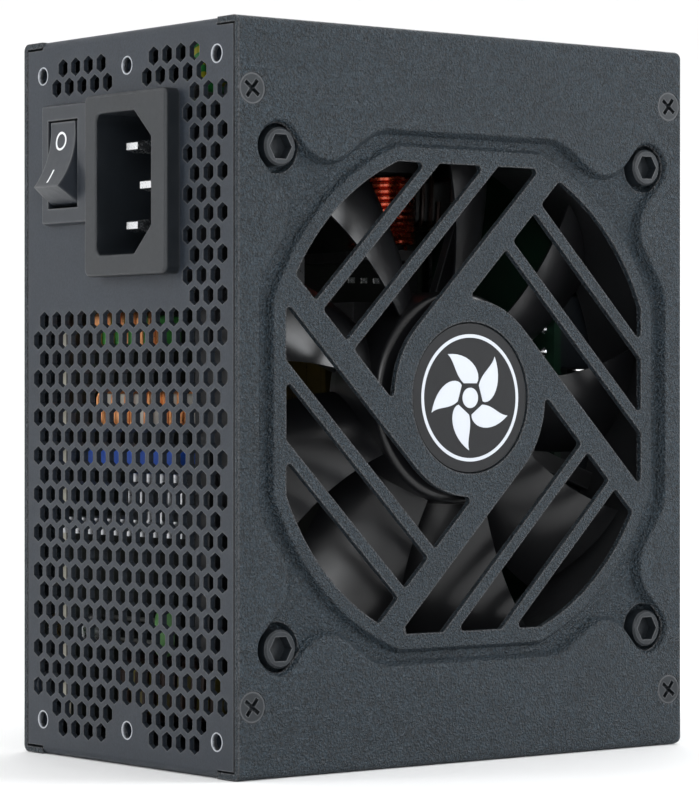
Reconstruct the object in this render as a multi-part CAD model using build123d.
"""Compact modular power supply unit, standing on one of its long narrow sides.

Directions: -X is the mains face (inlet, switch, vent mesh), +X the output face (modular
sockets), -Y the fan face, +Y the base sheet. The unit stands on its lower side wall.
Every piece is laid out about the casing's centre; save() lifts the pieces so that z = 0
is the side it rests on.
"""
from build123d import *
import os
from math import atan2, cos, radians, sin

# ------------------------------------------------------------------ casing (millimetres)
CASE_X = 100.0                      # mains face to output face
CASE_Y = 63.5                       # fan face to base
CASE_Z = 125.0                      # side wall to side wall
MID_Z = CASE_Z / 2
X_AC = -CASE_X / 2                  # outside of the mains face
X_OUT = CASE_X / 2                  # outside of the output face
Y_FAN = -CASE_Y / 2                 # outside of the fan face
Y_BASE = CASE_Y / 2                 # outside of the base
SHEET = 1.0                         # frame, output panel and base sheet
COVER = 1.1                         # fan cover sheet with its powder coat
SEAM = 0.3                          # gap between neighbouring sheets
BEND = 1.3                          # outer radius of a bend
FLANGE = 5.8                        # depth of the covers' side flanges
WALL_HALF = Y_BASE - FLANGE - 0.15  # the frame's side walls reach to +-this in Y
LIP_X = 40.0                        # half length of the lips under the flanges

# flush rivets between the side walls and the output panel
RIVET_X = 44.5
RIVETS_Y = (-14.0, 14.0)
RIVET_R = 1.6

# screws that hold the two covers: X, distance from mid height
COVER_SCREWS = ((-47.15, 50.55), (46.65, 52.5))
SCREW_HEAD_R = 2.6
SCREW_SHANK_R = 1.45
SCREW_SINK = 1.15                   # depth of the countersunk head
TAB_X = 6.2                         # length of the tabs that the screws bite into

# fixing holes on the mains face (6-32 thread)
FIX_Y = 25.75
FIX_Z = 56.5
FIX_R = 1.4

# hexagonal vent mesh on the mains face
HEX_R = 1.645                       # corner radius, corners up and down
HEX_COLUMN = 1.95                   # half the pitch along Y
HEX_ROW = 3.38                      # pitch of the staggered rows
HEX_HALF_Y = 27.4
HEX_LAST_ROW = 17
HEX_PLAIN_FROM = 5                  # rows from here up are plain beside the inlet

# mains inlet
INLET_Y = -3.35
INLET_Z = 36.15
INLET_BEZEL = (24.0, 31.0)          # Y by Z
INLET_PROUD = 3.0
INLET_BODY = (19.7, 26.9)
INLET_BACK = -35.5
CAVITY_Y = (-11.05, 5.1)
CAVITY_Z = (24.3, 48.3)
CAVITY_FLOOR = -37.0
CAVITY_CUT = (4.9, 4.6)             # the two sloping corners, Y by Z
PINS = ((-0.95, 42.73), (-0.95, 29.27), (-4.95, 36.0))   # live, neutral, earth
PIN_TIP_X = -49.6

# rocker switch
SWITCH_Y = 17.35
SWITCH_Z = 40.6
BEZEL_Y = (9.8, 24.2)
BEZEL_Z = (30.0, 51.2)
BEZEL_PROUD = 1.5
WINDOW = (9.1, 15.3)                # Y by Z
SWITCH_BACK = -33.0
ROCKER_WIDTH = 8.5
ROCKER_PIVOT_X = -48.1
ROCKER_TILT = 17.5                  # either way from level
TRUNNION_R = 1.0
RUNNING = 0.05                      # radial clearance of every running fit
CONTACT_PIVOT_X = -40.0
TERMINALS_Z = (SWITCH_Z, SWITCH_Z + 5.0)
TERMINAL_OUT = 5.0                  # length of the blades behind the switch
CONTACT_TILT = ROCKER_TILT / 2

# fan
FAN_SIDE = 92.0
FAN_FRONT = -29.2
FAN_BACK = -14.2
FAN_HOLE = 41.3                     # screw holes from the fan's centre, both ways
FAN_BORE_R = 44.5
FAN_HUB_R = 18.4
BLADE_TIP_R = 43.6
BLADES = 9
BLADE_EDGE = 10.0                   # degrees, leading edge of the first blade
FAN_SHAFT_R = 1.5

# pressed grille of the fan cover
RECESS = 1.4                        # floor of the pressed recess below the outside
PLATEAU = 0.3                       # raised middle below the outside
PRESS_SLOPE = 33.0                  # degrees, slope of the pressed walls
PLATEAU_R = 46.1
PLATEAU_HALF = 43.2
GRILLE_R = 43.1
GRILLE_HALF = 40.0
HUB_R = 17.0
ARM_START = -12.5                   # where the slots begin beside each wide arm
SLOTS = ((HUB_R, 23.9), (26.0, 33.2), (35.3, 50.0))
BADGE_R = 12.9

# main board
BOARD_Y = (22.0, 23.6)
BOARD_X = (-47.5, 33.5)
BOARD_Z = 58.0
BOARD_FIX = ((-43.0, -40.5), (-40.0, 24.5), (30.0, -19.5), (28.0, 53.5))
COMPONENT_Y = 21.9                  # feet of the components

# ring chokes about Z: kind, centre X, Y, Z, outer and inner radius, height, wire
CHOKES = (
    ("filter", -38.3, 13.0, 11.7, 7.3, 4.4, 5.2, 1.1),
    ("filter", -35.8, 9.4, -2.0, 11.0, 6.5, 5.4, 1.2),
    ("pfc", -31.0, 9.6, -50.8, 10.6, 5.8, 8.4, 1.4),
    ("output", 23.0, 11.6, 36.0, 8.6, 4.8, 7.6, 1.2),
)

# filter parts by the mains panel
FILM_X = (-46.0, -32.0)
FILM_Y = (-9.6, 19.4)
FILM_Z = (-12.3, -8.4)
DISC_R = 3.6
DISC_THICK = 2.8
THERMISTOR_AT = (-41.0, 1.6, -40.5)
THERMISTOR_FACING = (0.782, -0.623, 0.0)
THERMISTOR_R = 4.0
THERMISTOR_THICK = 3.2

# comb-shaped heat sink by the mains panel
SINK_X = (-48.4, -31.0)
SINK_Y0 = -13.8
SINK_TOP_Y1 = 2.7
SINK_BAR_Z = (-23.6, -20.8)
SINK_TOP_Z = (-14.3, -12.9)
SINK_FINS = 6
SINK_FIN = 1.2
SINK_PITCH = 2.9

# electrolytic capacitors: radius, top, then X and Z of each
BULK_CAN = (14.8, -12.2, -3.4, -41.4)
TALL_CAN = (4.4, 2.0)
TALL_CANS = tuple((x, z) for x in (27.8, 17.6) for z in (-50.5, -40.5, -30.5))
SHORT_CAN = (3.9, 6.0)
SHORT_CANS = ((14.8, 52.3), (5.8, 52.3))

# power stage
FIN_PLATE_X = (-22.0, -19.6)
FIN_PLATE_Z = (19.0, 57.0)
TRANSISTORS_Z = (24.5, 36.5, 48.5)
CORE_X = (-4.0, 24.0)
CORE_Y = (-4.0, 20.4)
CORE_Z = (-14.0, 17.0)
CORE_LEG_HALF = 4.6
CORE_WINDOW_Y = (0.6, 15.8)
CORE_WINDOW_HALF = 11.2
COIL_AT = (8.1, 3.0)                # X and Y of the resonant coil
COIL_Z = (24.7, 42.3)
COIL_R = 6.2
COIL_FLANGE = 1.8

# modular output board and its sockets
MODULAR_X = (35.5, 37.1)
PIN_PITCH = 4.2
SOCKET_PROUD = 1.0
SOCKET_ROWS_Y = (14.6, 3.2, -8.2)
SOCKET_18 = ((SOCKET_ROWS_Y[0], -31.6),)
SOCKET_10 = ((SOCKET_ROWS_Y[0], 3.4),)
SOCKET_8 = (
    (SOCKET_ROWS_Y[0], 27.3),
    (SOCKET_ROWS_Y[0], 48.0),
    (SOCKET_ROWS_Y[1], -36.0),
    (SOCKET_ROWS_Y[1], -12.0),
    (SOCKET_ROWS_Y[1], 12.0),
    (SOCKET_ROWS_Y[1], 36.0),
)
SOCKET_6 = tuple((SOCKET_ROWS_Y[2], z) for z in (-36.0, -12.0, 12.0, 36.0))
SOCKET_KINDS = ((9, SOCKET_18), (5, SOCKET_10), (4, SOCKET_8), (3, SOCKET_6))

parts = {}


# ------------------------------------------------------------------ small helpers
def block(x0, x1, y0, y1, z0, z1):
    """A box between two opposite corners."""
    return Pos((x0 + x1) / 2, (y0 + y1) / 2, (z0 + z1) / 2) * Box(x1 - x0, y1 - y0, z1 - z0)


def rod_x(r, x0, x1, y, z):
    return Pos((x0 + x1) / 2, y, z) * Rot(0, 90, 0) * Cylinder(r, x1 - x0)


def rod_y(r, y0, y1, x, z):
    return Pos(x, (y0 + y1) / 2, z) * Rot(90, 0, 0) * Cylinder(r, y1 - y0)


def rod_z(r, z0, z1, x, y):
    return Pos(x, y, (z0 + z1) / 2) * Cylinder(r, z1 - z0)


def cone_y(r0, r1, y0, y1, x, z):
    """A cone from radius r0 at y0 to r1 at y1."""
    return Pos(x, (y0 + y1) / 2, z) * Rot(-90, 0, 0) * Cone(r0, r1, y1 - y0)


def ring_y(r_out, r_in, y0, y1, x=0.0, z=0.0):
    return rod_y(r_out, y0, y1, x, z) - rod_y(r_in, y0 - 1, y1 + 1, x, z)


def face_plane(y):
    """Plane facing -Y whose sketch axes are X and Z."""
    return Plane(origin=(0, y, 0), x_dir=(1, 0, 0), z_dir=(0, -1, 0))


def end_plane(x):
    """Plane facing +X whose sketch axes are Y and Z."""
    return Plane(origin=(x, 0, 0), x_dir=(0, 1, 0), z_dir=(1, 0, 0))


def prism_y(sketch, y0, y1):
    """An (x, z) outline made solid from y0 to y1."""
    return extrude(face_plane(y1) * sketch, y1 - y0)


def prism_x(sketch, x0, x1):
    """A (y, z) outline made solid from x0 to x1."""
    return extrude(end_plane(x0) * sketch, x1 - x0)


def outline(points):
    return make_face(Polyline(*points, close=True))


def tube(points, radius, bend):
    """A round wire along straight runs joined by tangent arcs."""
    path = FilletPolyline(*points, radius=bend)
    start = Plane(origin=path @ 0, z_dir=path % 0)
    return sweep(start * Circle(radius), path=path)


def group(shapes):
    return Compound(children=list(shapes))


def save(name, shape):
    """Lift a finished piece to the resting height and keep it under its name."""
    parts[name] = Pos(0, 0, MID_Z) * shape


# ------------------------------------------------------------------ casing sheets
def hex_centres():
    """Centres (y, z) of the open holes of the vent mesh."""
    last = int(HEX_HALF_Y / HEX_COLUMN)
    for row in range(-HEX_LAST_ROW, HEX_LAST_ROW + 1):
        for column in range(-last, last + 1):
            if (row + column) % 2 == 0:
                continue
            y = column * HEX_COLUMN
            if abs(row) == HEX_LAST_ROW:
                is_open = 7.0 < abs(y) < 20.0
            elif abs(row) == HEX_LAST_ROW - 1:
                is_open = 5.0 < abs(y) < 22.0
            elif row >= HEX_PLAIN_FROM:
                is_open = y < -17.0
            else:
                is_open = True
            if is_open:
                yield y, row * HEX_ROW


def hex_wire(x, y, z):
    corners = [radians(30 + 60 * k) for k in range(6)]
    return Wire.make_polygon([(x, y + HEX_R * cos(a), z + HEX_R * sin(a)) for a in corners])


def screw_tab(x0, x1, screw_x, z, y, inward):
    """Tab behind a cover, with the collar that its screw bites into."""
    y_far = y + inward * SHEET
    y_collar = y + inward * 2.3
    tab = block(x0, x1, min(y, y_far), max(y, y_far), z - 3.4, z + 3.4)
    tab += rod_y(2.3, min(y_far, y_collar), max(y_far, y_collar), screw_x, z)
    return tab - rod_y(SCREW_SHANK_R + RUNNING, -40, 40, screw_x, z)


def cover_tabs(x0, x1, screw_x, screw_z):
    """The four tabs at one end of the casing, two for each cover."""
    tabs = []
    for side in (-1, 1):
        tabs.append(screw_tab(x0, x1, screw_x, side * screw_z, Y_FAN + COVER + 0.1, 1))
        tabs.append(screw_tab(x0, x1, screw_x, side * screw_z, Y_BASE - SHEET - 0.2, -1))
    return tabs


def make_frame():
    """Mains panel and both side walls, bent from one sheet."""
    y0 = Y_FAN + COVER + SEAM + 0.05
    y1 = Y_BASE - SHEET - SEAM
    z_corner = MID_Z - COVER - SEAM
    rim = [
        (X_AC, y0, z_corner), (X_AC, -WALL_HALF, z_corner), (X_AC, -WALL_HALF, MID_Z - BEND),
        (X_AC, WALL_HALF, MID_Z - BEND), (X_AC, WALL_HALF, z_corner), (X_AC, y1, z_corner),
    ]
    rim += [(x, y, -z) for x, y, z in reversed(rim)]
    holes = [hex_wire(X_AC, y, z) for y, z in hex_centres()]
    panel = extrude(Face(Wire.make_polygon(rim), holes), SHEET, dir=(1, 0, 0))
    inlet_y = (INLET_Y - 10.05, INLET_Y + 10.05)
    inlet_z = (INLET_Z - 13.6, INLET_Z + 13.6)
    panel -= block(X_AC - 1, X_AC + 2, *inlet_y, *inlet_z)
    switch_y = (BEZEL_Y[0] + 1.1, BEZEL_Y[1] - 1.1)
    switch_z = (BEZEL_Z[0] + 1.0, BEZEL_Z[1] - 1.0)
    panel -= block(X_AC - 1, X_AC + 2, *switch_y, *switch_z)
    fixings = [(y, side * FIX_Z) for side in (-1, 1) for y in (-FIX_Y, 0.0, FIX_Y)]
    for y, z in fixings:
        panel += rod_x(2.5, X_AC + SHEET, X_AC + 2.6, y, z)
        panel -= rod_x(FIX_R, X_AC - 1, X_AC + 5, y, z)
    for tab in cover_tabs(X_AC + SHEET - 0.5, X_AC + SHEET + TAB_X - 1.0, *COVER_SCREWS[0]):
        panel += tab

    for side in (-1, 1):
        outer = block(X_AC, X_OUT, -WALL_HALF, WALL_HALF, MID_Z - 4, MID_Z)
        inner = block(X_AC + SHEET, X_OUT + 1, -WALL_HALF - 1, WALL_HALF + 1, MID_Z - 5, MID_Z - SHEET)
        corner = outer.edges().filter_by(Axis.Y).sort_by(lambda e: e.center().X - e.center().Z)[0]
        wall = fillet(corner, BEND) - inner
        wall -= block(X_AC - 1, X_AC + SHEET + 1, -40, 40, 0, MID_Z - BEND)
        for y_side in (-1, 1):
            y_in = WALL_HALF - SHEET
            y_out = Y_BASE - SHEET - SEAM - 1.2
            web = sorted((y_side * y_in, y_side * WALL_HALF))
            lip = sorted((y_side * y_in, y_side * y_out))
            wall += block(-LIP_X, LIP_X, *web, MID_Z - 2.4, MID_Z)
            wall += block(-LIP_X, LIP_X, *lip, MID_Z - 2.4, MID_Z - 1.4)
        for y in RIVETS_Y:
            wall -= rod_z(RIVET_R + RUNNING, 50, 70, RIVET_X, y)
            wall -= Pos(RIVET_X, y, MID_Z - 0.4) * Cone(RIVET_R, RIVET_R + 1.2, 0.8)
        panel += wall if side > 0 else mirror(wall, about=Plane.XY)
    save("frame_and_mains_panel", panel)


def make_rivets():
    """Flush rivets that join the output panel to the frame's side walls."""
    rivets = []
    for y in RIVETS_Y:
        rivet = rod_z(RIVET_R, MID_Z - 2.2, MID_Z - 0.8, RIVET_X, y)
        rivet += Pos(RIVET_X, y, MID_Z - 0.42) * Cone(RIVET_R - 0.05, RIVET_R + 1.1, 0.76)
        rivet += rod_z(RIVET_R + 0.9, MID_Z - 3.1, MID_Z - 2.2, RIVET_X, y)
        rivets += [rivet, mirror(rivet, about=Plane.XY)]
    save("panel_rivets", group(rivets))


def socket_size(columns):
    """Outer size along Y and Z of a two-row socket."""
    return 9.8, columns * PIN_PITCH + 0.7


def make_output_panel():
    y0 = Y_FAN + COVER + SEAM + 0.05
    y1 = Y_BASE - SHEET - SEAM
    half = MID_Z - COVER - SEAM
    panel = block(X_OUT - SHEET, X_OUT, y0, y1, -half, half)
    flange_top = MID_Z - SHEET - 0.2
    for side in (-1, 1):
        z = sorted((side * flange_top, side * (flange_top - SHEET)))
        flange = block(X_OUT - 9.5, X_OUT - 0.1, -22.0, 22.0, *z)
        for y in RIVETS_Y:
            flange -= rod_z(RIVET_R + RUNNING, -70, 70, RIVET_X, y)
        panel += flange
    for tab in cover_tabs(X_OUT - SHEET - TAB_X, X_OUT - SHEET + 0.5, *COVER_SCREWS[1]):
        panel += tab
    for columns, places in SOCKET_KINDS:
        size_y, size_z = socket_size(columns)
        for y, z in places:
            hole = RectangleRounded(size_y + 0.5, size_z + 0.5, 0.6)
            panel -= prism_x(Pos(y, z) * hole, X_OUT - 2, X_OUT + 1)
    save("output_panel", panel)


def recess_outline():
    """Outline of the pressed recess: flat sides, waisted shoulders and four round ears."""
    quarter = [
        ((20.5, 45.35), 9.0),
        ((32.3, 37.4), 7.0),
        ((41.4, 47.7), 4.1),
        ((47.8, 41.35), 4.1),
        ((37.7, 31.0), 7.0),
        ((45.85, 19.3), 9.0),
    ]
    corners = list(quarter)
    corners += [((x, -z), r) for (x, z), r in reversed(quarter)]
    corners += [((-x, -z), r) for (x, z), r in quarter]
    corners += [((-x, z), r) for (x, z), r in reversed(quarter)]
    line = FilletPolyline(*[p for p, r in corners], radius=[r for p, r in corners], close=True)
    return make_face(line)


def plateau_outline():
    full = Circle(PLATEAU_R) & Rectangle(2 * PLATEAU_HALF, 2 * PLATEAU_HALF)
    return fillet(full.vertices(), 3.0)


def pressed(sketch, y_top, y_floor):
    """Solid between two levels whose outline shrinks towards the higher y."""
    return extrude(face_plane(y_top) * sketch, -(y_floor - y_top), taper=PRESS_SLOPE)


def slot_outline():
    """Three slots of one quarter of the grille, in the quarter's own frame."""
    field = Rot(0, 0, -45) * (Circle(GRILLE_R) & Rectangle(2 * GRILLE_HALF, 2 * GRILLE_HALF))
    slots = []
    for low, high in SLOTS:
        reach = 60.0
        slot = Pos((ARM_START + reach) / 2, (low + high) / 2) * Rectangle(reach - ARM_START, high - low)
        if low == HUB_R:
            slot += Pos(ARM_START / 2, high / 2) * Rectangle(-ARM_START, high)
            slot -= Circle(HUB_R)
        slot = slot & field
        corners = [v for v in slot.vertices() if abs(v.X) > 0.5 or abs(v.Y - HUB_R) > 0.5]
        slots.append(fillet(corners, 0.7))
    return slots


def cone_between(r0, r1, y0, y1, x, z):
    """A cone from radius r0 at y0 to r1 at y1, whichever way round the levels are."""
    if y0 < y1:
        return cone_y(r0, r1, y0, y1, x, z)
    return cone_y(r1, r0, y1, y0, x, z)


def cover_blank(y_face, inward, sheet):
    """Flat sheet with its two side flanges, bent over the frame."""
    y_in = y_face + inward * FLANGE
    outer = block(X_AC, X_OUT, min(y_face, y_in), max(y_face, y_in), -MID_Z, MID_Z)
    bends = outer.edges().filter_by(Axis.X).sort_by(lambda e: abs(e.center().Y - y_face))[:2]
    outer = fillet(bends, BEND)
    corners = [e for e in outer.edges().filter_by(Axis.Y) if abs(e.center().X - X_OUT) < 0.01]
    y_sheet = y_face + inward * sheet
    y_far = y_face + inward * (FLANGE + 2)
    half = MID_Z - sheet
    hollow = block(X_AC - 1, X_OUT + 1, min(y_sheet, y_far), max(y_sheet, y_far), -half, half)
    return fillet(corners, 0.9) - hollow


def with_screw_sinks(cover, y_face, inward):
    """Countersinks and holes for the four cover screws."""
    for screw_x, screw_z in COVER_SCREWS:
        for z in (-screw_z, screw_z):
            cover -= cone_between(SCREW_HEAD_R + 0.12, SCREW_SHANK_R + 0.15,
                                  y_face, y_face + inward * SCREW_SINK, screw_x, z)
            cover -= rod_y(SCREW_SHANK_R + 0.15, min(y_face, -y_face), max(y_face, -y_face), screw_x, z)
    return cover


def make_fan_cover():
    """Fan side cover: pressed recess, raised middle, slots, screw pockets and badge seat."""
    floor = Y_FAN + RECESS
    top = Y_FAN + PLATEAU
    cover = cover_blank(Y_FAN, 1, COVER)
    cover += pressed(offset(recess_outline(), 0.5), Y_FAN + COVER, floor + COVER)
    cover -= pressed(recess_outline(), Y_FAN, floor)
    middle = plateau_outline()
    cover += extrude(face_plane(floor) * middle, floor - top, taper=PRESS_SLOPE)
    cover -= extrude(face_plane(floor + COVER) * offset(middle, -0.4), floor - top, taper=PRESS_SLOPE)

    edges = [e for e in cover.edges() if abs(e.center().Y - Y_FAN) < 0.01
             and max(abs(e.center().X), abs(e.center().Z)) < 47.5]
    cover = fillet(edges, 0.45)
    edges = [e for e in cover.edges() if abs(e.center().Y - top) < 0.01]
    cover = fillet(edges, 0.45)

    slots = slot_outline()
    for turn in range(4):
        for slot in slots:
            quarter = Rot(0, 0, 45 + 90 * turn) * slot
            cover -= prism_y(quarter, Y_FAN - 1, Y_FAN + 4)
    cover -= rod_y(BADGE_R + 0.15, top - 1, top + 0.75, 0, 0)

    seat = Y_FAN + 3.0
    for x in (-FAN_HOLE, FAN_HOLE):
        for z in (-FAN_HOLE, FAN_HOLE):
            cover += rod_y(5.1, floor + 0.3, seat + 0.9, x, z)
            cover -= cone_y(4.5, 4.05, floor - 0.4, seat, x, z)
            cover -= rod_y(2.15, seat - 1, seat + 2, x, z)
    save("fan_cover", with_screw_sinks(cover, Y_FAN, 1))


def make_base_cover():
    cover = cover_blank(Y_BASE, -1, SHEET)
    save("base_cover", with_screw_sinks(cover, Y_BASE, -1))


def cross_recess(y_face, inward, x, z, size=1.75, depth=1.0):
    """The cross slot cut in a screw head."""
    y_in = y_face + inward * depth
    y_out = y_face - inward * 0.5
    low, high = min(y_in, y_out), max(y_in, y_out)
    cross = block(x - size, x + size, low, high, z - 0.36, z + 0.36)
    cross += block(x - 0.36, x + 0.36, low, high, z - size, z + size)
    return Pos(x, 0, z) * Rot(0, 38, 0) * Pos(-x, 0, -z) * cross


def cover_screw(y_face, inward, x, z):
    """Countersunk cross-recess screw, its head just below the sheet."""
    y_head = y_face + inward * 0.12
    y_neck = y_face + inward * SCREW_SINK
    screw = cone_between(SCREW_HEAD_R, SCREW_SHANK_R, y_head, y_neck, x, z)
    y_tip = y_face + inward * 6.0
    screw += rod_y(SCREW_SHANK_R, min(y_neck, y_tip), max(y_neck, y_tip), x, z)
    return screw - cross_recess(y_head, inward, x, z)


def make_cover_screws():
    for name, y_face, inward in (("fan_cover_screws", Y_FAN, 1), ("base_screws", Y_BASE, -1)):
        screws = []
        for x, z in COVER_SCREWS:
            screws += [cover_screw(y_face, inward, x, side * z) for side in (-1, 1)]
        save(name, group(screws))


def make_fan_screws():
    """Socket-head screws that hold the fan against the cover."""
    head_r = 3.2
    seat = Y_FAN + 3.0
    top = Y_FAN + 0.1
    screws = []
    for x in (-FAN_HOLE, FAN_HOLE):
        for z in (-FAN_HOLE, FAN_HOLE):
            head = rod_y(head_r, top, seat, x, z)
            rim = head.edges().sort_by(Axis.Y)[0]
            head = chamfer(rim, 0.35)
            hexagon = Pos(x, z) * RegularPolygon(2.3, 6)
            head -= prism_y(hexagon, top - 1, top + 1.9)
            screws.append(head + rod_y(1.95, seat, FAN_FRONT + 12.0, x, z))
    save("fan_screws", group(screws))


def make_badge():
    top = Y_FAN + PLATEAU
    disc = rod_y(BADGE_R, top + 0.25, top + 0.75, 0, 0)
    rim = disc.edges().sort_by(Axis.Y)[0]
    save("centre_badge", chamfer(rim, 0.15))


# ------------------------------------------------------------------ mains inlet
def rounded(size_y, size_z, radius, y, z):
    return Pos(y, z) * RectangleRounded(size_y, size_z, radius)


def make_inlet():
    """Three-pin mains inlet that snaps into the panel from outside."""
    front = X_AC - INLET_PROUD
    bezel = prism_x(rounded(*INLET_BEZEL, 1.3, INLET_Y, INLET_Z), front, X_AC)
    rim = [e for e in bezel.edges() if abs(e.center().X - front) < 0.01]
    bezel = fillet(rim, 0.6)
    body = prism_x(rounded(*INLET_BODY, 1.0, INLET_Y, INLET_Z), X_AC, INLET_BACK)
    housing = bezel + body
    (y0, y1), (z0, z1) = CAVITY_Y, CAVITY_Z
    cut_y, cut_z = CAVITY_CUT
    cavity = outline([
        (y1, z0), (y1, z1), (y0 + cut_y, z1),
        (y0, z1 - cut_z), (y0, z0 + cut_z), (y0 + cut_y, z0),
    ])
    square = [v for v in cavity.vertices() if v.X > y1 - 0.1]
    cavity = fillet(square, 1.5)
    sloped = [v for v in cavity.vertices() if v.X < y0 + cut_y + 0.1]
    cavity = fillet(sloped, 0.6)
    housing -= prism_x(cavity, front - 1, CAVITY_FLOOR)
    mouth = [e for e in housing.edges() if abs(e.center().X - front) < 0.01
             and y0 - 0.1 <= e.center().Y <= y1 + 0.1 and z0 - 0.1 <= e.center().Z <= z1 + 0.1]
    housing = fillet(mouth, 0.4)
    for side in (-1, 1):
        z_wall = INLET_Z + side * INLET_BODY[1] / 2
        x_latch = X_AC + SHEET + 0.15
        latch = outline([(x_latch, z_wall + side * 1.2), (X_AC + 7.0, z_wall), (x_latch, z_wall)])
        housing += extrude(face_plane(INLET_Y + 4.0) * latch, 8.0)
    for y, z in PINS:
        housing -= block(CAVITY_FLOOR - 1, INLET_BACK + 1, y - 2.0, y + 2.0, z - 1.0, z + 1.0)
    save("inlet_housing", housing)

    pins = []
    for y, z in PINS:
        shoulder = PIN_TIP_X + 1.7
        blade = block(shoulder, INLET_BACK, y - 2.0, y + 2.0, z - 1.0, z + 1.0)
        tip = loft([end_plane(PIN_TIP_X) * Pos(y, z) * Rectangle(3.3, 1.17),
                    end_plane(shoulder) * Pos(y, z) * Rectangle(4.0, 2.0)])
        tail = block(INLET_BACK, INLET_BACK + 5.5, y - 1.6, y + 1.6, z - 0.4, z + 0.4)
        pins.append(blade + tip + tail)
    save("inlet_pins", group(pins))


# ------------------------------------------------------------------ rocker switch
def about_pivot(shape, pivot_x, angle):
    """Turn a piece drawn about the origin by angle about Y and set it at its pivot."""
    return Pos(pivot_x, SWITCH_Y, SWITCH_Z) * Rot(0, angle, 0) * shape


def make_switch():
    """Housing, rocker with its sprung pin, tilting contact and terminals; rests at O."""
    front = X_AC - BEZEL_PROUD
    y_mid = sum(BEZEL_Y) / 2
    z_mid = sum(BEZEL_Z) / 2
    size_y = BEZEL_Y[1] - BEZEL_Y[0]
    size_z = BEZEL_Z[1] - BEZEL_Z[0]
    foot = Plane(origin=(X_AC, y_mid, z_mid), x_dir=(0, -1, 0), z_dir=(-1, 0, 0))
    housing = extrude(foot * RectangleRounded(size_y, size_z, 0.7), BEZEL_PROUD, taper=14)
    rim = [e for e in housing.edges() if abs(e.center().X - front) < 0.01]
    housing = fillet(rim, 0.25)
    housing += block(X_AC, SWITCH_BACK, BEZEL_Y[0] + 1.2, BEZEL_Y[1] - 1.2,
                     BEZEL_Z[0] + 1.1, BEZEL_Z[1] - 1.1)
    window_y, window_z = WINDOW
    housing -= block(front - 1, X_AC + 0.3, SWITCH_Y - window_y / 2, SWITCH_Y + window_y / 2,
                     SWITCH_Z - window_z / 2, SWITCH_Z + window_z / 2)
    housing -= block(X_AC + 0.2, SWITCH_BACK - 3.0, SWITCH_Y - window_y / 2, SWITCH_Y + window_y / 2,
                     SWITCH_Z - 8.1, SWITCH_Z + 8.1)
    reach = window_y / 2 + 0.8
    housing -= rod_y(TRUNNION_R + RUNNING, SWITCH_Y - reach, SWITCH_Y + reach, ROCKER_PIVOT_X, SWITCH_Z)
    for z in TERMINALS_Z:
        housing -= block(SWITCH_BACK - 4, SWITCH_BACK + 1, SWITCH_Y - 3.15, SWITCH_Y + 3.15,
                         z - 0.4, z + 0.4)
    save("switch_housing", housing)

    # rocker, drawn level about its pivot: outwards is -X
    half_z, out = 5.95, 5.42
    dish, skirt_z, skirt_x = 4.2, 7.5, 0.84
    face = ThreePointArc((-out, half_z), (-dish, 0), (-out, -half_z))
    lower = Polyline((-out, -half_z), (-skirt_x, -skirt_z), (1.2, -skirt_z + 0.3),
                     (1.2, -skirt_z + 1.6), (-1.0, -4.0), (-1.0, -2.2), (1.3, -1.6))
    back = Line((1.3, -1.6), (1.3, 1.6))
    upper = Polyline((1.3, 1.6), (-1.0, 2.2), (-1.0, 4.0), (1.2, skirt_z - 1.6), (1.2, skirt_z - 0.3),
                     (-skirt_x, skirt_z), (-out, half_z))
    profile = make_face([face, lower, back, upper])
    half = ROCKER_WIDTH / 2
    rocker = prism_y(profile, -half, half)
    rims = [e for e in rocker.edges() if abs(abs(e.center().Y) - half) < 0.01 and e.center().X < -3.0]
    rocker = chamfer(rims, 0.3)
    draft = outline([
        (-7, -half + 0.8), (-7, half - 0.8), (-skirt_x, half),
        (4, half), (4, -half), (-skirt_x, -half),
    ])
    rocker = rocker & extrude(draft, 20, both=True)
    rocker += rod_y(TRUNNION_R, -window_y / 2 - 0.65, window_y / 2 + 0.65, 0, 0)
    rocker += rod_x(1.5, 1.0, 4.4, 0, 0)
    rocker -= rod_x(0.8, 2.0, 5.0, 0, 0)
    save("switch_rocker", about_pivot(rocker, ROCKER_PIVOT_X, ROCKER_TILT))

    pin = rod_x(0.75, 2.0, 6.5, 0, 0) + Pos(6.5, 0, 0) * Sphere(0.75)
    save("rocker_pin", about_pivot(pin, ROCKER_PIVOT_X, ROCKER_TILT))

    contact = block(-0.25, 0.25, -2.4, 2.4, -6.0, 6.0) + rod_y(0.5, -2.9, 2.9, 0.1, 0)
    for side in (-1, 1):
        contact += rod_x(0.9, 0.25, 0.75, 0, side * 5.0)
    save("switch_contact", about_pivot(contact, CONTACT_PIVOT_X, -CONTACT_TILT))

    cradle = block(CONTACT_PIVOT_X + 0.05, SWITCH_BACK - 3.1, SWITCH_Y - 3.6, SWITCH_Y + 3.6,
                   SWITCH_Z - 1.4, SWITCH_Z + 1.4)
    cradle -= block(CONTACT_PIVOT_X - 1, CONTACT_PIVOT_X + 1.1, SWITCH_Y - 2.6, SWITCH_Y + 2.6,
                    SWITCH_Z - 2, SWITCH_Z + 2)
    cradle -= rod_y(0.5 + RUNNING, SWITCH_Y - 3.0, SWITCH_Y + 3.0, CONTACT_PIVOT_X + 0.1, SWITCH_Z)
    cradle += block(SWITCH_BACK - 3.2, SWITCH_BACK + TERMINAL_OUT, SWITCH_Y - 3.15, SWITCH_Y + 3.15,
                    SWITCH_Z - 0.4, SWITCH_Z + 0.4)
    load_z = TERMINALS_Z[1]
    load = block(CONTACT_PIVOT_X + 1.9, SWITCH_BACK + TERMINAL_OUT, SWITCH_Y - 3.15, SWITCH_Y + 3.15,
                 load_z - 0.4, load_z + 0.4)
    save("switch_terminals", group([cradle, load]))


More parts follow.
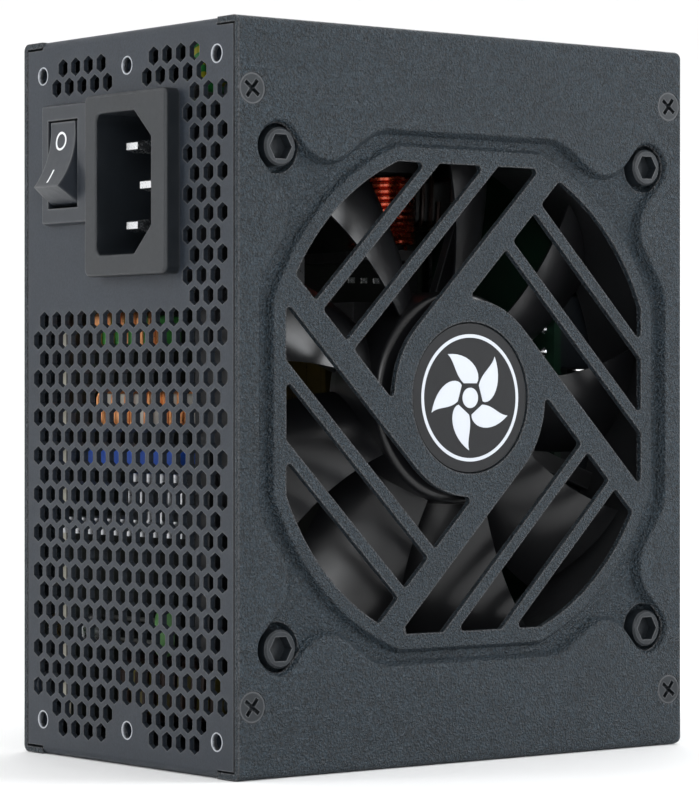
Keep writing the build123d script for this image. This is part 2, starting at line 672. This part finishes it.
# ------------------------------------------------------------------ wires by the inlet
def make_mains_wires():
    (live_y, live_z), (neutral_y, neutral_z), (earth_y, earth_z) = PINS
    tail = INLET_BACK + 5.5
    turn_x = tail + 5.3
    live = tube([(tail, live_y, live_z), (turn_x, live_y, live_z), (turn_x, SWITCH_Y, TERMINALS_Z[1]),
                 (SWITCH_BACK + TERMINAL_OUT, SWITCH_Y, TERMINALS_Z[1])], 1.0, 2.2)
    save("live_wire", live)
    neutral = tube([(tail, neutral_y, neutral_z), (tail + 5.0, neutral_y, neutral_z),
                    (tail + 5.0, 6.0, 24.0), (tail + 5.0, COMPONENT_Y, 24.0)], 1.0, 3.0)
    save("neutral_wire", neutral)
    lug_x, lug_y = -45.4, -14.6
    top = MID_Z - SHEET
    earth = tube([(tail, earth_y, earth_z), (tail + 5.5, earth_y, earth_z), (tail + 5.5, -8.0, 52.5),
                  (lug_x, lug_y, 52.5), (lug_x, lug_y, top - 1.5)], 1.1, 3.6)
    earth += block(lug_x - 1.6, lug_x + 1.6, lug_y - 1.6, lug_y + 5.0, top - 1.5, top)
    save("earth_wire", earth)


# ------------------------------------------------------------------ boards and supports
def make_main_board():
    board = block(*BOARD_X, *BOARD_Y, -BOARD_Z, BOARD_Z)
    board -= block(BOARD_X[0] - 1, -25.5, BOARD_Y[0] - 1, BOARD_Y[1] + 1, 28.0, BOARD_Z + 1)
    board -= block(BOARD_X[0] - 1, -46.5, BOARD_Y[0] - 1, BOARD_Y[1] + 1, -BOARD_Z - 1, -53.0)
    standoffs = []
    screws = []
    for x, z in BOARD_FIX:
        board -= rod_y(1.7, BOARD_Y[0] - 1, BOARD_Y[1] + 1, x, z)
        post = rod_y(2.6, BOARD_Y[1], Y_BASE - SHEET, x, z)
        standoffs.append(post - rod_y(1.25, BOARD_Y[1] - 1, Y_BASE - SHEET - 1.0, x, z))
        head = rod_y(2.6, BOARD_Y[0] - 1.8, BOARD_Y[0], x, z)
        head = fillet(head.edges().sort_by(Axis.Y)[0], 0.7)
        screw = head + rod_y(1.2, BOARD_Y[0], BOARD_Y[0] + 6.0, x, z)
        screws.append(screw - cross_recess(BOARD_Y[0] - 1.8, 1, x, z, 1.4, 1.0))
    save("main_board", board)
    save("board_standoffs", group(standoffs))
    save("board_screws", group(screws))
    sheet = block(-42.0, 42.0, 30.25, 30.55, -57.0, 57.0)
    for x, z in BOARD_FIX:
        sheet -= rod_y(3.0, 30, 31, x, z)
    save("insulation_sheet", sheet)


# ------------------------------------------------------------------ coils
def toroid(r_out, r_in, height):
    """A ring core about Z at the origin, edges rounded."""
    ring = Cylinder(r_out, height) - Cylinder(r_in, height + 2)
    return fillet(ring.edges().filter_by(GeomType.CIRCLE), 0.6)


def wound_ring(r_out, r_in, height, wire):
    """The winding of a ring core as one shell that closes round the core."""
    shell = Cylinder(r_out + wire, height + 2 * wire) - Cylinder(r_in - wire, height + 4 * wire)
    shell = fillet(shell.edges().filter_by(GeomType.CIRCLE), 0.9)
    gap = 2.0
    for side in (-1, 1):
        shell -= Pos(0, side * r_out, 0) * Box(gap * 2, r_out, height * 3)
    return shell - Cylinder(r_out, height) - Box(gap, r_out * 4, height * 3)


def make_chokes():
    cores = {}
    windings = {}
    for kind, x, y, z, r_out, r_in, height, wire in CHOKES:
        cores.setdefault(kind, []).append(Pos(x, y, z) * toroid(r_out, r_in, height))
        shells = Pos(x, y, z) * wound_ring(r_out, r_in, height, wire)
        windings.setdefault(kind, []).extend(shells.solids())
    for kind in cores:
        save(kind + "_choke_core", group(cores[kind]))
        save(kind + "_choke_winding", group(windings[kind]))


# ------------------------------------------------------------------ components
def make_filter_parts():
    film = block(*FILM_X, *FILM_Y, *FILM_Z)
    film = fillet(film.edges().filter_by(Axis.Y), 0.6)
    for x in (FILM_X[0] + 2.0, FILM_X[1] - 2.0):
        film += rod_y(0.4, FILM_Y[1] - 0.4, COMPONENT_Y, x, sum(FILM_Z) / 2)
    save("film_capacitor", film)
    discs = []
    for x, z in ((-43.0, 17.6), (-34.0, 20.4)):
        disc = rod_z(DISC_R, z, z + DISC_THICK, x, 16.0)
        z_leg = z + DISC_THICK / 2
        legs = rod_y(0.35, 18.0, COMPONENT_Y, x - 2.5, z_leg)
        legs += rod_y(0.35, 18.0, COMPONENT_Y, x + 2.5, z_leg)
        discs.append(disc + legs)
    save("safety_capacitors", group(discs))
    across = Plane(origin=THERMISTOR_AT, z_dir=THERMISTOR_FACING)
    thermistor = across * Cylinder(THERMISTOR_R, THERMISTOR_THICK)
    thermistor = fillet(thermistor.edges().filter_by(GeomType.CIRCLE), 1.2)
    x, y, z = THERMISTOR_AT
    for side in (-1, 1):
        thermistor += rod_y(0.4, y + 1.4, COMPONENT_Y, x + 1.4, z + 1.9 * side)
    save("inrush_thermistor", thermistor)


def make_input_heatsink():
    """Comb-shaped heat sink by the mains panel with the bridge rectifier on its back."""
    sink = block(*SINK_X, SINK_Y0, COMPONENT_Y, *SINK_BAR_Z)
    sink += block(*SINK_X, SINK_Y0, SINK_TOP_Y1, *SINK_TOP_Z)
    for k in range(SINK_FINS):
        y = SINK_Y0 + SINK_PITCH * k
        sink += block(*SINK_X, y, y + SINK_FIN, SINK_BAR_Z[1], SINK_TOP_Z[0])
    save("input_heatsink", sink)
    x0 = SINK_X[1] + 0.1
    bridge = block(x0, x0 + 4.0, -8.0, 14.0, -24.0, -15.0)
    bridge = chamfer(bridge.edges().filter_by(Axis.X).sort_by(Axis.Z)[-1], 1.5)
    for k in range(4):
        y = -6.0 + 5.5 * k
        bridge += block(x0 + 1.7, x0 + 2.5, y - 0.5, y + 0.5, -26.0, -24.0)
    save("bridge_rectifier", bridge)


def can(radius, y_top, x, z):
    """Electrolytic capacitor standing on the board, with its rolled groove."""
    body = rod_y(radius, y_top, COMPONENT_Y, x, z)
    body = fillet(body.edges().filter_by(GeomType.CIRCLE).sort_by(Axis.Y)[0], 0.9)
    groove = ring_y(radius + 1, radius - 0.5, COMPONENT_Y - 3.6, COMPONENT_Y - 2.4, x, z)
    return body - groove


def make_capacitors():
    save("bulk_capacitor", can(*BULK_CAN))
    cans = [can(*TALL_CAN, x, z) for x, z in TALL_CANS]
    cans += [can(*SHORT_CAN, x, z) for x, z in SHORT_CANS]
    save("output_capacitors", group(cans))


def make_primary_heatsink():
    """Finned plate on the board and the three transistors screwed to its face."""
    x0, x1 = FIN_PLATE_X
    fins = block(x0, x1, -10.0, COMPONENT_Y, *FIN_PLATE_Z)
    for k in range(6):
        z = FIN_PLATE_Z[0] + 2.0 + 6.6 * k
        fins += block(x0 - 1.4, x0, -10.0, 14.0, z, z + 1.4)
    save("primary_heatsink", fins)
    packages = []
    for z in TRANSISTORS_Z:
        package = block(x1, x1 + 4.4, 0.0, 9.5, z - 5.0, z + 5.0)
        package += block(x1, x1 + 1.2, -6.0, 0.0, z - 5.0, z + 5.0)
        package -= rod_x(1.7, x1 - 0.4, x1 + 1.6, -3.2, z)
        for k in (-1, 0, 1):
            leg_z = z + 2.54 * k
            package += block(x1 + 1.8, x1 + 2.4, 9.5, COMPONENT_Y, leg_z - 0.4, leg_z + 0.4)
        packages.append(package)
    save("power_transistors", group(packages))


def make_transformers():
    core = block(*CORE_X, *CORE_Y, *CORE_Z)
    z_mid = sum(CORE_Z) / 2
    (x0, x1), (y0, y1) = CORE_X, CORE_WINDOW_Y
    for side in (-1, 1):
        window = sorted((z_mid + side * CORE_LEG_HALF, z_mid + side * CORE_WINDOW_HALF))
        core -= block(x0 - 1.0, x1 + 1.0, y0, y1, *window)
    save("transformer_core", core)
    half = CORE_WINDOW_HALF - 0.2
    winding = block(x0 - 2.5, x1 + 2.5, y0 + 0.2, y1 - 0.2, z_mid - half, z_mid + half)
    winding = fillet(winding.edges().filter_by(Axis.Y), 3.0)
    half = CORE_LEG_HALF + 0.2
    winding -= block(x0 - 0.2, x1 + 0.2, -10.0, 30.0, z_mid - half, z_mid + half)
    save("transformer_winding", winding)

    x, y = COIL_AT
    z0, z1 = COIL_Z
    flange = COIL_FLANGE
    rod = rod_z(3.4, z0 + flange, z1 - flange, x, y)
    for low in (z0, z1 - flange):
        rod += rod_z(COIL_R + 0.2, low, low + flange, x, y)
        rod += block(x - 4.0, x + 4.0, y, COMPONENT_Y, low, low + flange)
    save("resonant_core", rod)
    turns = rod_z(COIL_R, z0 + flange + 0.2, z1 - flange - 0.2, x, y)
    save("resonant_coil", turns - rod_z(3.45, z0, z1, x, y))

    standby = block(-13.0, -1.0, 5.0, COMPONENT_Y, 45.0, 57.0)
    standby -= block(-10.4, -3.6, 4.0, 9.6, 44.0, 58.0)
    wound = block(-10.2, -3.8, 5.6, 14.0, 46.2, 55.8)
    standby += fillet(wound.edges().filter_by(Axis.Y), 1.5)
    save("standby_transformer", standby)


def make_control_board():
    board = block(0.0, 30.0, 1.0, COMPONENT_Y, 46.0, 47.2)
    for x in (3.0, 12.0, 21.0):
        board += block(x, x + 5.0, 6.0, 11.0, 44.6, 46.0)
    save("control_board", board)


# ------------------------------------------------------------------ modular outputs
def make_socket(columns, y, z):
    """Two-row socket with one square cell per pin and a latch rib."""
    size_y, size_z = socket_size(columns)
    front = X_OUT + SOCKET_PROUD
    body = prism_x(rounded(size_y, size_z, 0.5, y, z), MODULAR_X[1], front)
    cells = []
    for row in (-1, 1):
        for k in range(columns):
            cell_y = y + row * PIN_PITCH / 2
            cell_z = z + (k - (columns - 1) / 2) * PIN_PITCH
            corner = 0.9 if (k + (row > 0)) % 2 else 0.2
            cells.append(Pos(cell_y, cell_z) * RectangleRounded(3.5, 3.5, corner))
    body -= prism_x(Sketch() + cells, MODULAR_X[1] + 3.0, front + 1)
    rib = block(X_OUT - 7.0, front, y + size_y / 2 - 1.4, y + size_y / 2 - 0.2, z - 1.5, z + 1.5)
    return body + rib


def make_modular_side():
    board = block(*MODULAR_X, -13.3, 21.4, -57.0, 57.0)
    save("modular_board", board)
    names = ("main_socket_18", "main_socket_10", "power_sockets_8", "accessory_sockets_6")
    pins = []
    for name, (columns, places) in zip(names, SOCKET_KINDS):
        save(name, group([make_socket(columns, y, z) for y, z in places]))
        for y, z in places:
            for row in (-1, 1):
                for k in range(columns):
                    pin_y = y + row * PIN_PITCH / 2
                    pin_z = z + (k - (columns - 1) / 2) * PIN_PITCH
                    pins.append(block(MODULAR_X[1] + 3.0, X_OUT - 3.0, pin_y - 0.55, pin_y + 0.55,
                                      pin_z - 0.55, pin_z + 0.55))
    save("socket_pins", group(pins))


# ------------------------------------------------------------------ fan
def make_fan_frame():
    square = RectangleRounded(FAN_SIDE, FAN_SIDE, 4.0)
    frame = prism_y(square, FAN_FRONT, FAN_BACK)
    waist = prism_y(RectangleRounded(FAN_SIDE + 8, FAN_SIDE + 8, 4.0), FAN_FRONT + 4.0, FAN_BACK - 4.0)
    frame -= waist - rod_y(FAN_SIDE / 2 + 0.2, FAN_FRONT, FAN_BACK, 0, 0)
    frame -= rod_y(FAN_BORE_R, FAN_FRONT - 1, FAN_BACK + 1, 0, 0)
    mount_y = FAN_BACK - 1.5
    frame += rod_y(17.4, mount_y, FAN_BACK, 0, 0)
    for k in range(4):
        strut = block(16.0, FAN_BORE_R + 0.8, mount_y - 0.3, FAN_BACK, -1.6, 1.6)
        frame += Rot(0, 20 + 90 * k, 0) * strut
    frame += rod_y(3.6, FAN_FRONT + 4.7, mount_y, 0, 0)
    frame -= rod_y(0.9, mount_y - 1, FAN_BACK + 1, -11.5, 4.0)
    frame -= rod_y(2.6, FAN_FRONT, mount_y + 0.5, 0, 0)
    for x in (-FAN_HOLE, FAN_HOLE):
        for z in (-FAN_HOLE, FAN_HOLE):
            frame -= rod_y(2.0, FAN_FRONT - 1, FAN_BACK + 1, x, z)
            frame -= rod_y(5.4, FAN_FRONT - 1, Y_FAN + 4.0, x, z)
    save("fan_frame", frame)
    save("fan_bearing", ring_y(2.6, FAN_SHAFT_R + 0.03, FAN_FRONT + 4.7, mount_y + 0.5))


def blade_section(r, chord, lead):
    """Thin cambered section at radius r; lead is the angle of its front edge."""
    front, back = FAN_FRONT + 2.1, FAN_BACK - 2.6
    half = chord / 2
    middle = radians(lead) - atan2(half, r)
    out = Vector(cos(middle), 0, sin(middle))
    across = Vector(sin(middle), 0, -cos(middle))
    plane = Plane(origin=out * r + Vector(0, (front + back) / 2, 0), x_dir=across, z_dir=out)
    rise = (back - front) / 2
    sag = 1.1
    thick = 0.55
    flip = 1 if plane.y_dir.Y > 0 else -1
    upper = ThreePointArc((-half, -flip * rise), (sag, -flip * sag), (half, flip * rise))
    lower = ThreePointArc((-half, -flip * (rise - thick)), (sag - thick, -flip * (sag - thick * 1.6)),
                          (half - thick, flip * rise))
    ends = [Line((-half, -flip * rise), (-half, -flip * (rise - thick))),
            Line((half, flip * rise), (half - thick, flip * rise))]
    return plane * make_face([upper, lower] + ends)


def make_impeller():
    """Hub cup and swept blades; its magnet, yoke and shaft turn with it."""
    front = FAN_FRONT + 0.7
    hub = rod_y(FAN_HUB_R, front, FAN_BACK - 2.6, 0, 0)
    hub = fillet(hub.edges().sort_by(Axis.Y)[0], 1.2)
    hub -= rod_y(FAN_HUB_R - 1.3, front + 1.4, FAN_BACK, 0, 0)
    hub += rod_y(3.0, front + 1.4, front + 3.0, 0, 0)
    hub -= rod_y(FAN_SHAFT_R, front + 0.7, front + 4, 0, 0)
    sections = [blade_section(FAN_HUB_R - 0.6, 11.0, BLADE_EDGE + 1.0),
                blade_section(31.0, 15.0, BLADE_EDGE - 0.5),
                blade_section(BLADE_TIP_R + 1.0, 19.0, BLADE_EDGE + 3.0)]
    blade = loft(sections)
    blade = blade & ring_y(BLADE_TIP_R, FAN_HUB_R - 0.3, front, FAN_BACK - 2.4)
    impeller = hub
    for k in range(BLADES):
        impeller += Rot(0, -360 / BLADES * k, 0) * blade
    save("fan_impeller", impeller)
    save("fan_shaft", rod_y(FAN_SHAFT_R, front + 0.7, FAN_BACK - 1.2, 0, 0))
    save("rotor_yoke", ring_y(FAN_HUB_R - 1.3, FAN_HUB_R - 2.1, front + 1.4, FAN_BACK - 3.4))
    save("rotor_magnet", ring_y(FAN_HUB_R - 2.1, FAN_HUB_R - 3.7, front + 2.2, FAN_BACK - 4.0))


def make_stator():
    """Four-pole stator on the fan frame's bearing tube, its coils and its drive board."""
    y0, y1 = FAN_FRONT + 5.2, FAN_BACK - 4.4
    core = ring_y(5.4, 3.65, y0, y1)
    rim = ring_y(13.9, 12.4, y0, y1)
    coils = []
    for k in range(4):
        turn = Rot(0, 45 + 90 * k, 0)
        core += turn * block(4.6, 13.0, y0, y1, -1.6, 1.6)
        rim -= turn * Rot(0, 45, 0) * block(8.0, 16.0, y0 - 1, y1 + 1, -1.0, 1.0)
        coil = block(6.2, 12.0, y0 - 0.7, y1 + 0.7, -3.2, 3.2) - block(6.0, 13.0, y0, y1, -1.6, 1.6)
        coils.append(turn * coil)
    save("stator_core", core + rim)
    save("stator_coils", group(coils))
    board = ring_y(13.0, 3.7, y1 + 1.4, y1 + 2.4)
    save("fan_drive_board", board)
    lead = tube([(-11.5, y1 + 2.45, 4.0), (-11.5, -13.1, 4.0), (-18.5, -12.9, 7.5), (-20.5, -3.0, 9.0),
                 (-16.5, 12.0, 9.0), (-16.5, COMPONENT_Y, 9.0)], 0.55, 1.7)
    save("fan_lead", lead)


# ------------------------------------------------------------------ build and write
make_frame()
make_rivets()
make_output_panel()
make_fan_cover()
make_base_cover()
make_cover_screws()
make_fan_screws()
make_badge()
make_inlet()
make_switch()
make_mains_wires()
make_main_board()
make_chokes()
make_filter_parts()
make_input_heatsink()
make_capacitors()
make_primary_heatsink()
make_transformers()
make_control_board()
make_modular_side()
make_fan_frame()
make_impeller()
make_stator()

os.makedirs("parts", exist_ok=True)
for name, shape in parts.items():
    export_step(shape, "parts/" + name + ".step")
print(len(parts), "parts written")
